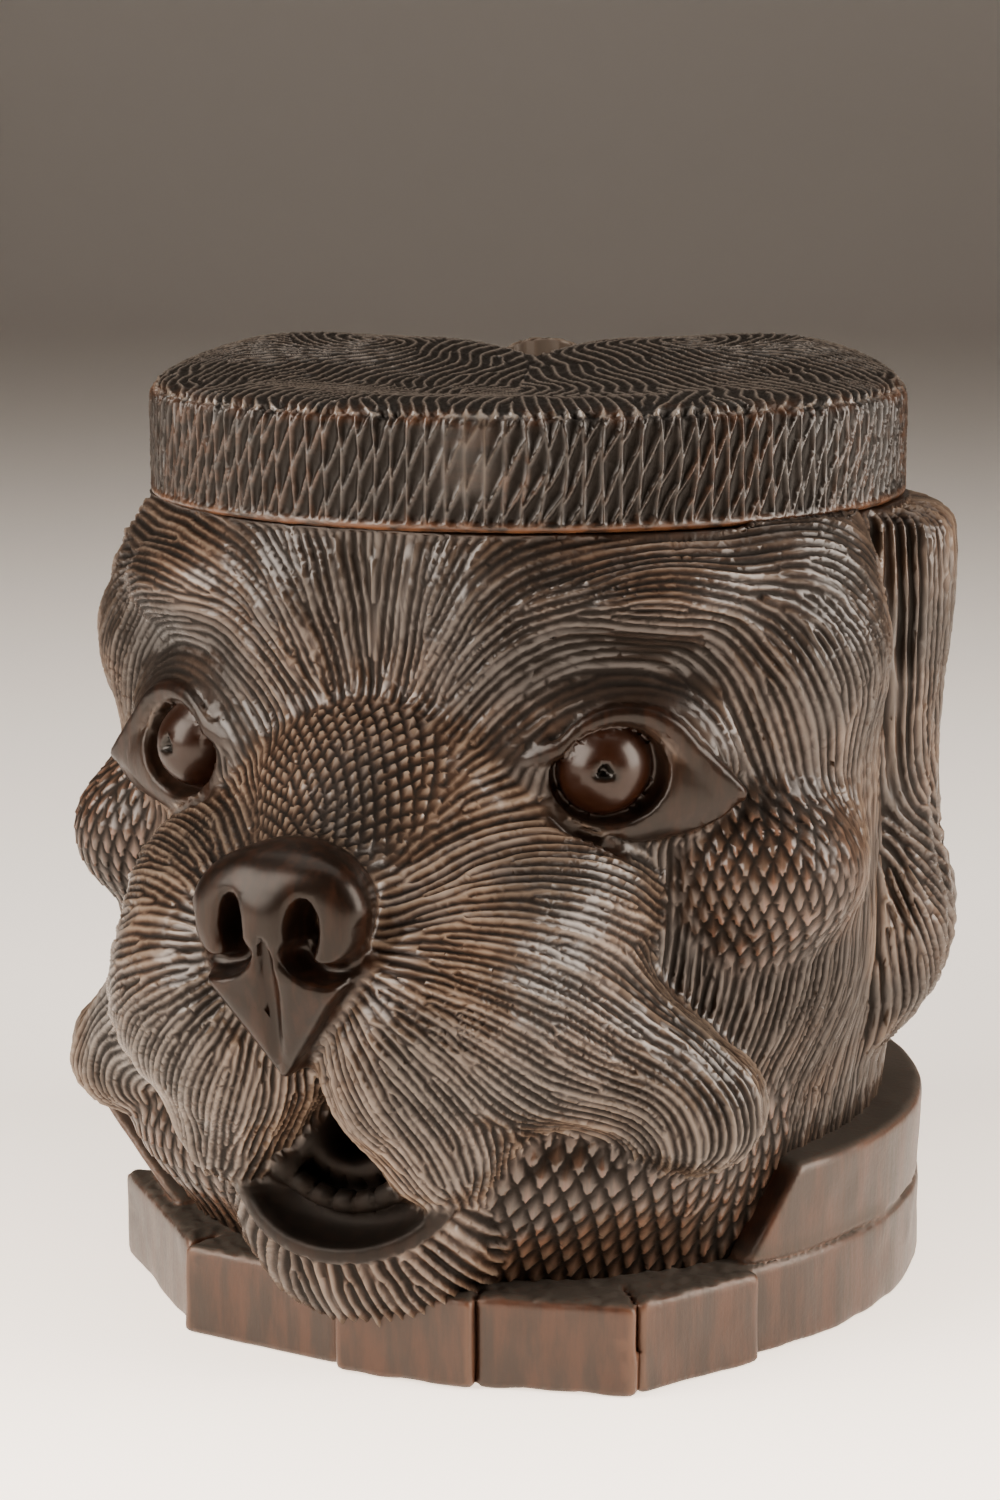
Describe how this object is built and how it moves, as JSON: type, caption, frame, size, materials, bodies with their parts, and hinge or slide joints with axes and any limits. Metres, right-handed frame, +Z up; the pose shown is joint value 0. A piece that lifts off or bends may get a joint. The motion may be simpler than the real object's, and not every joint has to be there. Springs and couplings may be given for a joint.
{
  "type": "carved dog head jar",
  "caption": "Wooden jar carved as a dog's head on a pleated collar, turned hollow inside, with a lift-off round lid.",
  "frame": {"origin": "middle of the flat underside of the foot, on the axis of the turned hollow and the lid", "axes": "+Z up along the jar's axis, -Y towards the dog's nose, +X towards the dog's left"},
  "size_m": [0.2324, 0.2594, 0.245],
  "materials": {
    "carved_wood": "dark stained walnut-brown carved wood, waxed, dusty on the ridges",
    "lid_wood": "near-black stained wood, chip carved, waxed, worn orange-brown at the edges"
  },
  "bodies": {
    "root": {"jar": "carved_wood", "lid": "lid_wood"}
  },
  "joints": []
}
